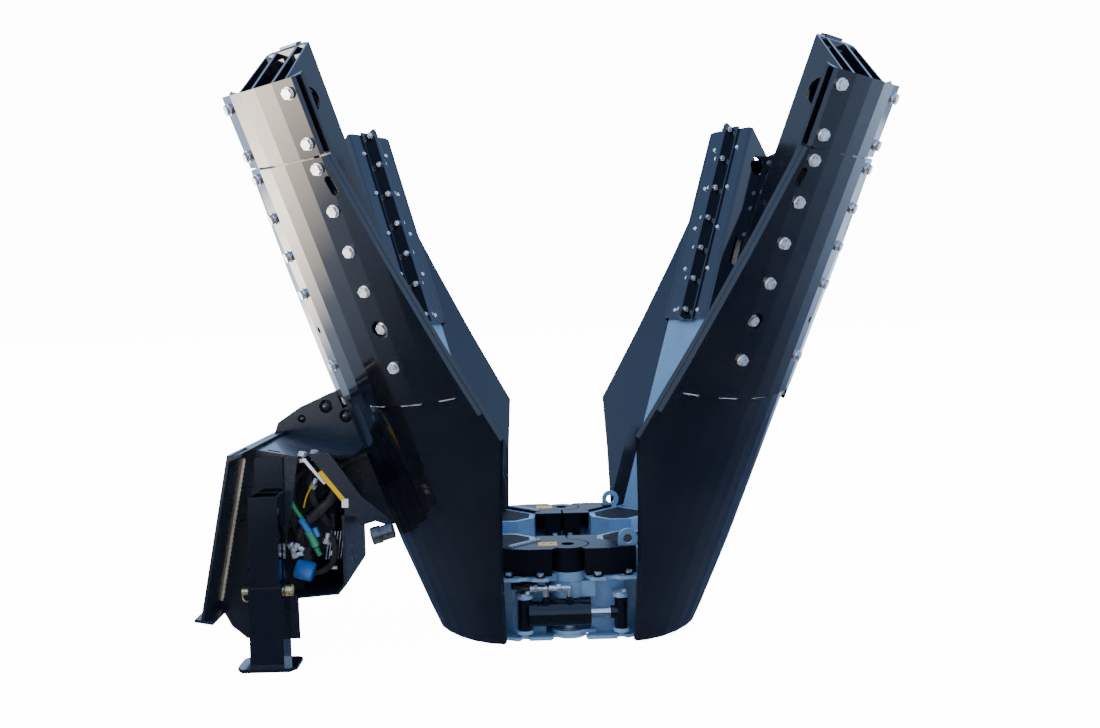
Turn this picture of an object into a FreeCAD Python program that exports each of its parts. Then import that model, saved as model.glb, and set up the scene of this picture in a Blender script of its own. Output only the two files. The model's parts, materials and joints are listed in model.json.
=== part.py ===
"""Four-blade hydraulic tree spade that hangs on a loader's quick-attach frame.

Millimetres, +Z up, +X to the gate side, -X to the loader.  The origin is the point where the axis of
the tree meets the ground.  Four towers lean outward round that axis.  Each tower is a fixed mast with
a carriage that slides along it and carries one curved blade.
"""
import FreeCAD, Part
import math
import os

Vec = FreeCAD.Vector

# ---- driving dimensions -----------------------------------------------------------------------
LEAN = math.radians(23.5)        # tower axis from the vertical
TRAVEL = 560.0                   # blade stroke along the tower axis
AZIMUTH = {"rear_near": 225, "front_near": 315, "rear_far": 135, "front_far": 45}
INNER_SIDE = {"rear_near": -1, "front_near": 1, "rear_far": 1, "front_far": -1}

# blade, in the tower frame: u across, v outward, s along the axis
ROLL_AXIS_V = -113.0             # v of the axis the blade is rolled about
BLADE_IN = 474.0                 # distance of the inner facets from that axis
BLADE_T = 10.0
BACKING_T = 12.0
FACETS = 13                      # flats the press brake leaves across the sheet
FACET_W = 60.0
BLADE_BOTTOM = 161.5
SHOULDER_S = 771.0
BLADE_TOP = 1566.0
TIP_HALF = 131.0
SHOULDER_HALF = 303.0
TOP_HALF = 160.0
BACKING_FOOT = 918.0
EAR_DROP = 62.0
SLOT_U = 149.0                   # sight slot near the backing's top corner
SLOT_DROP = 70.0
SLOT_R = 10.5
CAP_LOW = 1571.0
CAP_HIGH = 1753.0
TONGUE_HALF = 118.0

# carriage, mast and cylinder, in the tower frame
WEB_V = 231.0
WEB_HALF = 92.0
PLATE = 8.0
CARRIAGE_LOW = 1070.0
CARRIAGE_HIGH = 1815.0
FLANGE_IN = 102.0
FLANGE_OUT = 157.0
MAST_HALF = 80.0
MAST_V0 = 245.0
MAST_V1 = 330.0
MAST_TOP = 1230.0
CYL_V = 291.0
CYL_R = 35.0
ROD_R = 20.0
ROD_PIN_S = 1705.0
BASE_PIN_S = 420.0
BARREL_HEAD = 1105.0
GLAND = 60.0
PIN_R = 15.0
RUN_CLEAR = 0.05

# bolts on the tower
BOLT_COLUMN = 130.0
BOLT_FIRST_S = 1541.0
BOLT_PITCH = 103.3
BOLT_ROWS = 6
OPEN_ROW = 4
CAP_ROWS_S = (1721.0, 1602.0)
SPINE_FIRST_S = 1802.0
SPINE_PITCH = 118.0
SPINE_ROWS = 7
SCREW_COLUMN = 48.0
SCREW_FIRST_S = 1735.0
SCREW_PITCH = 159.0
SCREW_ROWS = 5
FIN_LOW = 1612.0

# ring
HINGE_Y = 283.0
HINGE_PIN_R = 19.0
KNUCKLE_R = 50.0
NOSE_R = 57.0                    # rear cover's round end; the gate's cover turns round it
SWEEP_R = 60.5                   # room kept clear round the hinge
FLOOR_Z = 8.0
FLOOR_T = 10.0
DECK_Z = 180.0
DECK_T = 10.0
COVER_Z = 266.0
COVER_T = 8.0
RING_IN = 148.0
RING_BEND = 90.0                 # where the inner wall turns across the corner
RING_OUT = 352.0
WALL_T = 8.0
SOCKET_IN = 168.0                # box round the mast foot, along the tower's azimuth
SOCKET_OUT = 452.0
SOCKET_HALF = 92.0
SOCKET_NOSE = 38.0               # half width of its inner end
SOCKET_BEVEL = 46.0              # length of the bevel beside that end
SOCKET_LID = 356.0
FOOT_BOLTS = ((80.0, -361.0, 1), (166.0, -345.0, 1), (24.0, -161.5, -1))   # x, y, side of the wall
FOOT_TAB = 5.0
FOOT_HOLE_R = 5.2
REAR_EARS = ((8.0, 18.0), (168.0, 195.0))
GATE_EARS = ((19.0, 29.0), (122.0, 167.0))

# gate cylinder
GC_Y = 340.0
GC_Z = 84.0
GC_REAR_X = -125.0
GC_FRONT_X = 144.0
GC_R = 35.0
GC_ROD_R = 16.0
GC_PIN_R = 12.5
PORTS_X = (-66.0, 0.0)
HOSE_Z = 157.0
OPENED_PIVOT_CLEAR = 2.0

# loader mount, tilted about Y round the foot of its plate
MOUNT_FOOT = (-944.0, 153.0)
MOUNT_TILT = 10.8
QA_HALF = 565.0
QA_LOW = 0.0
QA_HIGH = 430.0
QA_T = 8.0
QA_SLOT_Y = 405.0
GUSSET_Y = 418.0
GUSSET_T = 10.0
BRACKET_Y = 45.0
BRACKET_T = 12.0

# parking stand
STAND_X = -801.0
STAND_Y = -464.0
STAND_TUBE = 76.0
LEG_TUBE = 88.9
TUBE_WALL = 6.2
STAND_TOP = 457.0
LEG_TOP = 217.0
LEG_RISE = 160.0
HITCH_Z = 201.0
HITCH_R = 9.5
FOOT_T = 10.0
TUBE_LOW = FOOT_T + LEG_RISE + 4.0

# valve and hoses
VALVE_X, VALVE_Y, VALVE_Z = -690.0, -215.0, 330.0
BAY_REAR_X = -768.0              # open end of the valve bay's tray
HOSE_R = 8.0
HOSE_PITCH = 22.0                # between the two pressure hoses
HOSE_CLOSE = 17.0                # between the two looped hoses


# ---- small shape helpers ----------------------------------------------------------------------
def box(x0, x1, y0, y1, z0, z1):
    """Axis-parallel box between the given limits."""
    return Part.makeBox(x1 - x0, y1 - y0, z1 - z0, Vec(x0, y0, z0))


def rod(start, direction, radius, length):
    """Solid cylinder from start along direction."""
    return Part.makeCylinder(radius, length, Vec(*start), Vec(*direction))


def prism(points, direction):
    """Closed outline of 3-D points, pushed along direction."""
    corners = [Vec(*p) for p in points]
    wire = Part.makePolygon(corners + [corners[0]])
    return Part.Face(wire).extrude(Vec(*direction))


def plan(points, z0, z1):
    """Outline seen from above, between two heights."""
    return prism([(x, y, z0) for x, y in points], (0, 0, z1 - z0))


def side(points, y0, y1):
    """Outline in X and Z, between two depths."""
    return prism([(x, y0, z) for x, z in points], (0, y1 - y0, 0))


def hexagon(centre, direction, across_flats, height):
    """Hexagonal prism standing on centre."""
    radius = across_flats / 2 / math.cos(math.pi / 6)
    ring = []
    for k in range(6):
        angle = math.pi / 3 * k
        ring.append((radius * math.cos(angle), radius * math.sin(angle), 0))
    shape = prism(ring, (0, 0, height))
    turn = FreeCAD.Rotation(Vec(0, 0, 1), Vec(*direction))
    shape.Placement = FreeCAD.Placement(Vec(*centre), turn)
    return shape


def fuse(shapes):
    """One shape from several that touch, with needless seams removed where that is safe."""
    joined = shapes[0].fuse(shapes[1:]) if len(shapes) > 1 else shapes[0]
    refined = joined.removeSplitter()
    same = abs(refined.Volume - joined.Volume) < 1e-6 * joined.Volume
    return refined if same and refined.isValid() else joined


def checked(name, solids):
    """The solids of one node, or a stop when a step has lost them."""
    if not solids or min(solid.Volume for solid in solids) < 1:
        raise ValueError("nothing left of " + name)
    return solids


def mirror_y(shape):
    """The same shape on the far side."""
    return shape.mirror(Vec(0, 0, 0), Vec(0, 1, 0))


def mirror_x(shape):
    """The same shape on the gate side."""
    return shape.mirror(Vec(0, 0, 0), Vec(1, 0, 0))


def save(name, shapes):
    """Write one node; a list becomes a compound of separate solids."""
    parts = shapes if isinstance(shapes, list) else [shapes]
    solids = []
    for part in parts:
        solids.extend(part.Solids)
    checked(name, solids)
    shape = solids[0] if len(solids) == 1 else Part.makeCompound(solids)
    shape.exportStep("parts/%s.step" % name)


def bolt(seat, out, across_flats, head, shank_r, shank, washer_r):
    """Hex bolt with its washer; seat is where the washer lies, out points away from the joint."""
    washer_t = 2.5
    back = tuple(-c for c in out)
    top = tuple(p + washer_t * c for p, c in zip(seat, out))
    pieces = [rod(seat, out, washer_r, washer_t), hexagon(top, out, across_flats, head)]
    pieces.append(rod(seat, back, shank_r, shank))
    return fuse(pieces)


# ---- tower frame ------------------------------------------------------------------------------
def tower_matrix(name):
    """Matrix from (u, v, s) of a tower to the ring's frame."""
    turn = math.radians(AZIMUTH[name])
    radial = Vec(math.cos(turn), math.sin(turn), 0)
    up = Vec(0, 0, 1)
    across = radial.cross(up)
    outward = radial * math.cos(LEAN) - up * math.sin(LEAN)
    along = radial * math.sin(LEAN) + up * math.cos(LEAN)
    return FreeCAD.Matrix(across.x, outward.x, along.x, 0,
                          across.y, outward.y, along.y, 0,
                          across.z, outward.z, along.z, 0,
                          0, 0, 0, 1)


def place(shape, name):
    """A tower-frame shape, moved to its tower."""
    moved = shape.copy()
    moved.transformShape(tower_matrix(name))
    return moved


def facet_angle(index):
    """Direction of one flat of the blade, counted from the middle one."""
    return index * FACET_W / (BLADE_IN + BLADE_T)


def sheet(inner, outer, low, high):
    """Faceted shell about the roll axis, between two distances of its flats."""
    half = facet_angle(0.5)
    reach = (FACETS - 1) // 2

    def corner(distance, index):
        angle = facet_angle(index)
        radius = distance / math.cos(half)
        return (radius * math.sin(angle), ROLL_AXIS_V + radius * math.cos(angle), low)

    edges = [k - 0.5 for k in range(-reach, reach + 2)]
    outline = [corner(outer, k) for k in edges] + [corner(inner, k) for k in reversed(edges)]
    return prism(outline, (0, 0, high - low))


def seat_line(u, s, distance=BLADE_IN + BLADE_T + BACKING_T):
    """Where a bolt over column u of the backing crosses the flat at distance, and its direction."""
    top = BLADE_IN + BLADE_T + BACKING_T
    angle = facet_angle(round(math.asin(u / top) / facet_angle(1)))
    along = (u - top * math.sin(angle)) / math.cos(angle)
    out = (math.sin(angle), math.cos(angle), 0.0)
    point = (distance * out[0] + along * out[1], ROLL_AXIS_V + distance * out[1] - along * out[0], s)
    return point, out


def blade_half(s):
    """Half width of the blade at s."""
    if s <= SHOULDER_S:
        share = (s - BLADE_BOTTOM) / (SHOULDER_S - BLADE_BOTTOM)
        return TIP_HALF + share * (SHOULDER_HALF - TIP_HALF)
    share = (s - SHOULDER_S) / (BLADE_TOP - SHOULDER_S)
    return SHOULDER_HALF + share * (TOP_HALF - SHOULDER_HALF)


def outline_cut(shell, right_side):
    """Keep the part of a shell inside a symmetric (u, s) outline given by its right side."""
    left_side = [(-u, s) for u, s in reversed(right_side)]
    points = [(u, 150.0, s) for u, s in right_side + left_side]
    return shell.common(prism(points, (0, 300, 0)))


def bolt_positions(inner):
    """Blade bolts as (u, s, state): fitted, open hole, or sunk in the access hole."""
    found = []
    for row in range(BOLT_ROWS):
        s = BOLT_FIRST_S - BOLT_PITCH * row
        for sign in (-1, 1):
            state = "fitted"
            if row == OPEN_ROW:
                state = "sunk" if sign == inner else "open"
            found.append((sign * BOLT_COLUMN, s, state))
    return found


def flat_hole(u, s, radius):
    """Drill through the stack at a bolt, square to its flat."""
    start, out = seat_line(u, s, BLADE_IN - 40)
    return rod(start, out, radius, 110)


def make_blade(inner):
    """Curved digging sheet, with a tongue under the cap."""
    shell = sheet(BLADE_IN, BLADE_IN + BLADE_T, BLADE_BOTTOM, CAP_HIGH - 6)
    right = [(TIP_HALF, BLADE_BOTTOM), (SHOULDER_HALF, SHOULDER_S), (TOP_HALF, BLADE_TOP),
             (TONGUE_HALF, BLADE_TOP), (TONGUE_HALF, CAP_HIGH - 6)]
    blade = outline_cut(shell, right)
    holes = [flat_hole(u, s, 9.0 if state == "open" else 8.2) for u, s, state in bolt_positions(inner)]
    holes += [flat_hole(sign * BOLT_COLUMN, s, 8.2) for s in CAP_ROWS_S for sign in (-1, 1)]
    return blade.cut(holes)


def make_backing(inner):
    """Doubling plate welded over the upper blade, with an ear down each edge."""
    low = BACKING_FOOT - EAR_DROP
    shell = sheet(BLADE_IN + BLADE_T, BLADE_IN + BLADE_T + BACKING_T, low, BLADE_TOP)
    ear_in = blade_half(BACKING_FOOT) - 22.0
    right = [(ear_in, BACKING_FOOT), (ear_in + 6.0, low), (blade_half(low) - 1.0, low),
             (TOP_HALF - 1.0, BLADE_TOP)]
    plate = outline_cut(shell, right)
    drills = []
    for u, s, state in bolt_positions(inner):
        drills.append(flat_hole(u, s, {"fitted": 8.2, "open": 9.0, "sunk": 23.0}[state]))
    for step in (-14.0, -7.0, 0.0, 7.0, 14.0):
        start, out = seat_line(inner * (SLOT_U - 0.18 * step), BLADE_TOP - SLOT_DROP + step, BLADE_IN + BLADE_T)
        drills.append(rod(start, out, SLOT_R, 40))
    return plate.cut(drills)


def make_cap():
    """Short top plate bolted over the carriage."""
    shell = sheet(BLADE_IN + BLADE_T, BLADE_IN + BLADE_T + BACKING_T, CAP_LOW, CAP_HIGH)
    cap = outline_cut(shell, [(TOP_HALF - 8.0, CAP_LOW), (TOP_HALF - 8.0, CAP_HIGH)])
    holes = [flat_hole(sign * BOLT_COLUMN, s, 8.2) for s in CAP_ROWS_S for sign in (-1, 1)]
    return cap.cut(holes)


def carriage_top_cut():
    """Tool above the slanted top: high at the web, low at the blade."""
    points = [(-250, WEB_V, CARRIAGE_HIGH), (-250, WEB_V - 120, CARRIAGE_HIGH + 80),
              (-250, 420, CARRIAGE_HIGH + 80), (-250, 420, 1705), (-250, 352, CAP_HIGH - 8)]
    return prism(points, (500, 0, 0))


def carriage_wall(sign):
    """Flared side wall from the web to the flange."""
    inner_v = WEB_V + 3.0
    points = [(sign * WEB_HALF, inner_v), (sign * 106.0, 352.0), (sign * 98.0, 352.0),
              (sign * (WEB_HALF - PLATE), inner_v)]
    wall = prism([(u, v, CARRIAGE_LOW) for u, v in points], (0, 0, CARRIAGE_HIGH - CARRIAGE_LOW))
    hatch = rod((sign * 60, 300, 1690), (sign, 0, 0), 33, 60)
    window = box(min(sign * 70, sign * 130), max(sign * 70, sign * 130), 278, 322, 1300, 1400)
    return wall.cut([hatch, window])


def pin_fin(sign):
    """Fin for the cylinder's pin; it stands on the blade side, so it passes down inside the mast."""
    lo, hi = sorted((sign * 38.0, sign * 50.0))
    inside = MAST_V0 + PLATE + 4
    bridge = MAST_TOP + TRAVEL + 4
    outline = [(inside, FIN_LOW), (380, FIN_LOW), (380, CARRIAGE_HIGH), (WEB_V + 2, CARRIAGE_HIGH),
               (WEB_V + 2, bridge), (inside, bridge)]
    return prism([(lo, v, s) for v, s in outline], (hi - lo, 0, 0))


def make_carriage(inner):
    """Hat-section slide: web, two flared walls, flanges under the blade and two fins for the pin."""
    length = CARRIAGE_HIGH - CARRIAGE_LOW
    bend = 12.0
    web = [(-WEB_HALF + bend, WEB_V), (WEB_HALF - bend, WEB_V), (WEB_HALF, WEB_V + bend),
           (WEB_HALF - PLATE, WEB_V + bend), (WEB_HALF - bend - 3, WEB_V + PLATE),
           (-WEB_HALF + bend + 3, WEB_V + PLATE), (-WEB_HALF + PLATE, WEB_V + bend),
           (-WEB_HALF, WEB_V + bend)]
    pieces = [prism([(u, v, CARRIAGE_LOW) for u, v in web], (0, 0, length))]
    flange = sheet(BLADE_IN - PLATE, BLADE_IN, CARRIAGE_LOW, CARRIAGE_HIGH)
    for sign in (-1, 1):
        pieces.append(carriage_wall(sign))
        lo, hi = sorted((sign * (FLANGE_IN - 6.0), sign * FLANGE_OUT))
        pieces.append(flange.common(box(lo, hi, 250, 400, CARRIAGE_LOW, CARRIAGE_HIGH)))
        pieces.append(pin_fin(sign))
    pieces.append(flange.common(box(-FLANGE_IN, FLANGE_IN, 250, 400, FIN_LOW, CARRIAGE_HIGH)))
    body = fuse(pieces).cut([carriage_top_cut(), sheet(BLADE_IN, BLADE_IN + 90, 900, 2000)])
    drills = [flat_hole(u, s, 8.2) for u, s, state in bolt_positions(inner) if state != "open"]
    drills += [flat_hole(sign * BOLT_COLUMN, s, 8.2) for s in CAP_ROWS_S for sign in (-1, 1)]
    drills.append(rod((-60, CYL_V, ROD_PIN_S), (1, 0, 0), PIN_R, 120))
    return body.cut(drills)


def make_spine():
    """Two angle irons back to back down the inner face of the web."""
    low, high = CARRIAGE_LOW - 8, CARRIAGE_HIGH + 6
    pieces = []
    for sign in (-1, 1):
        outline = [(0, WEB_V), (sign * 36, WEB_V), (sign * 36, WEB_V - 7), (sign * 7, WEB_V - 7),
                   (sign * 7, WEB_V - 38), (0, WEB_V - 38)]
        pieces.append(prism([(u, v, low) for u, v in outline], (0, 0, high - low)))
    holes = []
    for row in range(SPINE_ROWS):
        s = SPINE_FIRST_S - SPINE_PITCH * row
        holes.append(rod((-20, WEB_V - 22, s), (1, 0, 0), 6.0, 40))
    return [piece.cut(holes) for piece in pieces]


def make_pads():
    """Slide strips: two on the web, two behind the mast's open edges."""
    strips = []
    for sign in (-1, 1):
        lo, hi = sorted((sign * 36, sign * 62))
        strips.append(box(lo, hi, WEB_V + PLATE, MAST_V0 - 0.4, CARRIAGE_LOW + 6, 1600))
        lo, hi = sorted((sign * 66, sign * 86))
        block = box(lo, hi, MAST_V1 + 0.4, 380, CARRIAGE_LOW + 6, 1560)
        strips.append(block.cut(sheet(BLADE_IN, BLADE_IN + 90, 1000, 1600)))
    return strips


def make_tower_bolts(inner):
    """All the fixings that ride on one carriage."""
    items = []
    top = BLADE_IN + BLADE_T + BACKING_T
    for u, s, state in bolt_positions(inner):
        if state == "open":
            continue
        seat, out = seat_line(u, s, top if state == "fitted" else BLADE_IN + BLADE_T)
        items.append(bolt(seat, out, 24, 9, 8.0, 34, 15))
    for s in CAP_ROWS_S:
        for sign in (-1, 1):
            seat, out = seat_line(sign * BOLT_COLUMN, s, top)
            items.append(bolt(seat, out, 24, 9, 8.0, 34, 15))
    for row in range(SPINE_ROWS):
        s = SPINE_FIRST_S - SPINE_PITCH * row
        head = hexagon((7, WEB_V - 22, s), (1, 0, 0), 19, 8)
        nut = hexagon((-15, WEB_V - 22, s), (1, 0, 0), 19, 8)
        items.append(fuse([head, nut, rod((-21, WEB_V - 22, s), (1, 0, 0), 6.0, 36)]))
    for row in range(SCREW_ROWS):
        s = SCREW_FIRST_S - SCREW_PITCH * row
        for sign in (-1, 1):
            cup = rod((sign * SCREW_COLUMN, WEB_V, s), (0, -1, 0), 6.5, 6)
            items.append(cup.cut(hexagon((sign * SCREW_COLUMN, WEB_V - 6.1, s), (0, 1, 0), 6, 4)))
    items.append(rod((-56, CYL_V, ROD_PIN_S), (1, 0, 0), PIN_R, 112))
    return items


def make_blade_rod():
    """Rod of the blade cylinder with its piston and its cross-tube eye."""
    piston_s = BARREL_HEAD - GLAND - 3
    pieces = [rod((0, CYL_V, piston_s), (0, 0, 1), ROD_R, ROD_PIN_S - piston_s - 10)]
    pieces.append(rod((0, CYL_V, piston_s - 30), (0, 0, 1), 29.95, 30))
    pieces.append(rod((-37, CYL_V, ROD_PIN_S), (1, 0, 0), 26, 74))
    return fuse(pieces).cut(rod((-40, CYL_V, ROD_PIN_S), (1, 0, 0), PIN_R, 80))


def make_blade_barrel():
    """Barrel of the blade cylinder: open bore, gland at the top and a cross-tube at the foot."""
    foot, head = BASE_PIN_S + 18.0, BARREL_HEAD
    body = rod((0, CYL_V, foot), (0, 0, 1), CYL_R, head - foot)
    eye = rod((-34, CYL_V, BASE_PIN_S), (1, 0, 0), 26, 68)
    body = fuse([body, eye])
    body = body.cut(rod((0, CYL_V, foot + 12), (0, 0, 1), 30.0, head - GLAND - foot - 12))
    body = body.cut(rod((0, CYL_V, head - GLAND - 5), (0, 0, 1), ROD_R + RUN_CLEAR, GLAND + 20))
    return body.cut(rod((-40, CYL_V, BASE_PIN_S), (1, 0, 0), PIN_R, 80))


def make_mast():
    """Open channel that guides the carriage, with the ears for the cylinder's foot."""
    low = 150.0
    shell = box(-MAST_HALF, MAST_HALF, MAST_V0, MAST_V1, low, MAST_TOP)
    hollow = box(-MAST_HALF + PLATE, MAST_HALF - PLATE, MAST_V0 + PLATE, MAST_V1 + 5, low - 5,
                 MAST_TOP + 5)
    pieces = [shell.cut(hollow)]
    for sign in (-1, 1):
        lo, hi = sorted((sign * 36, sign * (MAST_HALF - PLATE + 1)))
        pieces.append(box(lo, hi, MAST_V0 + PLATE - 1, 322, BASE_PIN_S - 34, BASE_PIN_S + 34))
    mast = fuse(pieces)
    return mast.cut(rod((-90, CYL_V, BASE_PIN_S), (1, 0, 0), PIN_R, 180))


def place_mast(name):
    """Mast and its base pin on one tower, cut off level on the deck."""
    below = box(-900, 900, -900, 900, -400, DECK_Z + DECK_T)
    pin = rod((-84, CYL_V, BASE_PIN_S), (1, 0, 0), PIN_R, 168)
    return place(make_mast(), name).cut(below), place(pin, name)


# ---- ring -------------------------------------------------------------------------------------
def hinge_disc(radius, z0, z1):
    """Disc about the near hinge."""
    return rod((0, -HINGE_Y, z0), (0, 0, 1), radius, z1 - z0)


def scallop_cuts():
    """Hollows between the bolt tabs on the deck's edge."""
    return [rod((x, -384, DECK_Z - 5), (0, 0, 1), 26, DECK_T + 10) for x in (-123, -214)]


def wall_run(points, thick, z0, z1):
    """Upright plate along a plan line, thickened to the left of its direction, with mitred corners."""
    normals = []
    for (xa, ya), (xb, yb) in zip(points, points[1:]):
        length = math.hypot(xb - xa, yb - ya)
        normals.append((-(yb - ya) / length, (xb - xa) / length))
    shifted = []
    for k, (x, y) in enumerate(points):
        before, after = normals[max(k - 1, 0)], normals[min(k, len(normals) - 1)]
        share = thick / (1 + before[0] * after[0] + before[1] * after[1])
        shifted.append((x + share * (before[0] + after[0]), y + share * (before[1] + after[1])))
    return plan(list(points) + shifted[::-1], z0, z1)


def socket_plan(half, near, far, nose=SOCKET_NOSE):
    """Box with a bevelled inner end round a mast foot, turned to the azimuth of the rear near tower."""
    beside = near + SOCKET_BEVEL
    outline = ((near, -nose), (near, nose), (beside, half), (far, half), (far, -half), (beside, -half))
    points = []
    for radial, across in outline:
        points.append((-(radial + across) / math.sqrt(2), -(radial - across) / math.sqrt(2)))
    return points


def rear_quarter():
    """Welded box of one quarter of the ring, rear near side, without its hinge ears."""
    low, top = FLOOR_Z + FLOOR_T, DECK_Z
    inner = [(-2, -RING_IN), (-RING_BEND, -RING_IN), (-RING_IN, -RING_BEND), (-RING_IN, 0)]
    bottom = [(-2, -345), (-150, -345), (-205, -318), (-318, -205), (-345, -150), (-345, 0)]
    pieces = [plan(bottom + inner[::-1], FLOOR_Z, low)]
    rim = [(-4, -374), (-190, -364), (-262, -368), (-368, -262), (-RING_OUT, -200), (-RING_OUT, 0)]
    deck = plan(rim + inner[:0:-1] + [(-4, -RING_IN)], DECK_Z, DECK_Z + DECK_T)
    pieces.append(deck.cut(scallop_cuts()))
    outer = [(-300, 0), (-300, -158), (-158, -300), (-66, -300)]
    pieces.append(wall_run(inner, WALL_T, low - 1, top + 1))
    pieces.append(wall_run(outer, WALL_T, low - 1, top + 1))
    lid_z = COVER_Z - COVER_T
    socket = plan(socket_plan(SOCKET_HALF, SOCKET_IN, SOCKET_OUT), top + DECK_T - 1, lid_z)
    inside = socket_plan(SOCKET_HALF - WALL_T, SOCKET_IN + WALL_T, SOCKET_OUT + 20, SOCKET_NOSE - 4)
    lid = plan(socket_plan(SOCKET_HALF - 1, SOCKET_IN + 1, SOCKET_LID), lid_z - WALL_T, lid_z)
    pieces += [socket.cut(plan(inside, top, COVER_Z)), lid]
    gap = plan([(-67, -400), (-44, -322), (50, -322), (50, -400)], 0, 200)
    return fuse(pieces).cut([gap, hinge_disc(SWEEP_R, 0, 300)])


def clevis(x, radius):
    """Pair of rounded lugs for one pin of the gate cylinder, on a pad."""
    pieces = [box(x - radius, x + radius, -304, -294, GC_Z - 54, GC_Z + 54)]
    for z0 in (GC_Z - 54, GC_Z + 44):
        pieces.append(box(x - radius, x + radius, -GC_Y, -296, z0, z0 + 10))
        pieces.append(rod((x, -GC_Y, z0), (0, 0, 1), radius, 10))
    return pieces


def hinge_ear(levels, reach):
    """Ears of one body round the near hinge, each with a neck to the ring's inner wall."""
    pieces = []
    for z0, z1 in levels:
        pieces.append(hinge_disc(KNUCKLE_R, z0, z1))
        pieces.append(box(min(reach, 0), max(reach, 0), -HINGE_Y - 35, -RING_IN - 2, z0,
                          min(z1, DECK_Z + DECK_T)))
    return pieces


def hose_window(x):
    """Opening in the ring's outer wall for the gate cylinder's hoses."""
    return box(x - 38, x + 38, -320, -280, 142, 176)


def rear_side():
    """Near half of the rear frame with its hinge ears and cylinder lugs."""
    body = fuse([rear_quarter()] + hinge_ear(REAR_EARS, -75) + clevis(GC_REAR_X, 23))
    drills = [hinge_disc(HINGE_PIN_R, 0, 300), rod((GC_REAR_X, -GC_Y, 0), (0, 0, 1), GC_PIN_R, 200)]
    drills += [hose_window(GC_REAR_X)]
    drills += [mirror_x(hole) for hole in foot_holes()]
    return body.cut(drills)


def make_rear_ring():
    """Rear frame: both sides joined along the back."""
    near = rear_side()
    back = box(-RING_OUT, -292, -120, 120, FLOOR_Z + FLOOR_T - 1, COVER_Z)
    hollow = box(-RING_OUT + 10, -300, -110, 110, FLOOR_Z + FLOOR_T + 8, COVER_Z - 10)
    return fuse([near, mirror_y(near), back.cut(hollow)]).cut(make_hoses(HOSE_R + 1))


def make_gate_ring():
    """Near front quarter that swings on the hinge."""
    quarter = mirror_x(rear_quarter()).cut(box(100, 900, -3, 50, -10, 400))
    post = box(62, 78, -300, -RING_IN - 2, GATE_EARS[0][0], DECK_Z + 1)
    lift = fuse([rod((168, -320, 284), (0, 1, 0), 28, 12), box(140, 188, -320, -308, DECK_Z + 9, 284)])
    body = fuse([quarter, post, lift] + hinge_ear(GATE_EARS, 75) + clevis(GC_FRONT_X, 22))
    drills = [hinge_disc(HINGE_PIN_R + RUN_CLEAR, 0, 300)]
    drills.append(rod((GC_FRONT_X, -GC_Y, 0), (0, 0, 1), GC_PIN_R, 200))
    drills.append(rod((168, -340, 284), (0, 1, 0), 13, 60))
    return body.cut(drills + foot_holes())


def foot_holes():
    """Drills for the cover's foot bolts on the near gate side."""
    return [rod((x, y, DECK_Z - 5), (0, 0, 1), FOOT_HOLE_R, 30) for x, y, _ in FOOT_BOLTS]


def cover_shell():
    """Folded cover beside the near hinge on the gate side: lid, walls and two bolt tabs."""
    low, top = DECK_Z + DECK_T, COVER_Z - COVER_T
    lid = [(47, -349), (114, -349), (189, -326), (240, -282), (150, -200), (80, -172), (3, -172),
           (3, -283)]
    pieces = [plan(lid, top, COVER_Z)]
    pieces.append(wall_run([(47, -300), (47, -349), (114, -349), (189, -326)], 4, low, top + 1))
    pieces.append(wall_run([(6, -222), (6, -174), (58, -174)], -4, low, top + 1))
    for x, y, towards in FOOT_BOLTS:
        y0, y1 = sorted((y, y + 17 * towards))
        pieces.append(fuse([box(x - 13, x + 13, y0, y1, low, low + FOOT_TAB),
                            rod((x, y, low), (0, 0, 1), 13, FOOT_TAB)]))
    return fuse(pieces).cut(foot_holes() + [mirror_x(mast_void())])


def mast_void():
    """Room the covers leave round the mast socket of the rear near quarter."""
    return plan(socket_plan(SOCKET_HALF + 1, SOCKET_IN - 1, 600), 100, 600)


def rear_cover():
    """Rear near cover with the round hinge cap on its nose."""
    cap = fuse([hinge_disc(NOSE_R, COVER_Z - COVER_T, COVER_Z), hinge_disc(49, 196, COVER_Z - 1)])
    cap = cap.cut([hinge_disc(HINGE_PIN_R + 6, 0, COVER_Z - COVER_T), hinge_disc(18.5, 0, 400)])
    shell = mirror_x(cover_shell()).cut(hinge_disc(KNUCKLE_R + 2, 0, COVER_Z - COVER_T - 1))
    return fuse([shell.cut(hinge_disc(18.5, 0, 400)), cap])


def front_cover():
    """Gate cover, hollowed to turn round the hinge cap."""
    slot = box(136, 200, -325, -303, 100, 400)
    return cover_shell().cut([hinge_disc(SWEEP_R, 0, 400), slot])


def foot_bolts(sign):
    """Bolts through the cover's feet."""
    seats = [(sign * x, y, DECK_Z + DECK_T + FOOT_TAB) for x, y, _ in FOOT_BOLTS]
    return [bolt(seat, (0, 0, 1), 17, 6, 5, 14, 9) for seat in seats]


# ---- gate cylinder ----------------------------------------------------------------------------
def gate_barrel():
    """Barrel with its cross-tube on the frame's pin and two ports on top."""
    head_x = 59.0
    body = rod((GC_REAR_X + 12, -GC_Y, GC_Z), (1, 0, 0), GC_R, head_x - GC_REAR_X - 12)
    cross = rod((GC_REAR_X, -GC_Y, GC_Z - 43), (0, 0, 1), 20, 86)
    body = fuse([body, cross] + [port(x) for x in PORTS_X])
    body = body.cut(rod((GC_REAR_X + 34, -GC_Y, GC_Z), (1, 0, 0), 28, head_x - 22 - GC_REAR_X - 34))
    body = body.cut(rod((0, -GC_Y, GC_Z), (1, 0, 0), GC_ROD_R + RUN_CLEAR, 120))
    return body.cut(rod((GC_REAR_X, -GC_Y, 0), (0, 0, 1), GC_PIN_R + RUN_CLEAR, 200))


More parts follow.
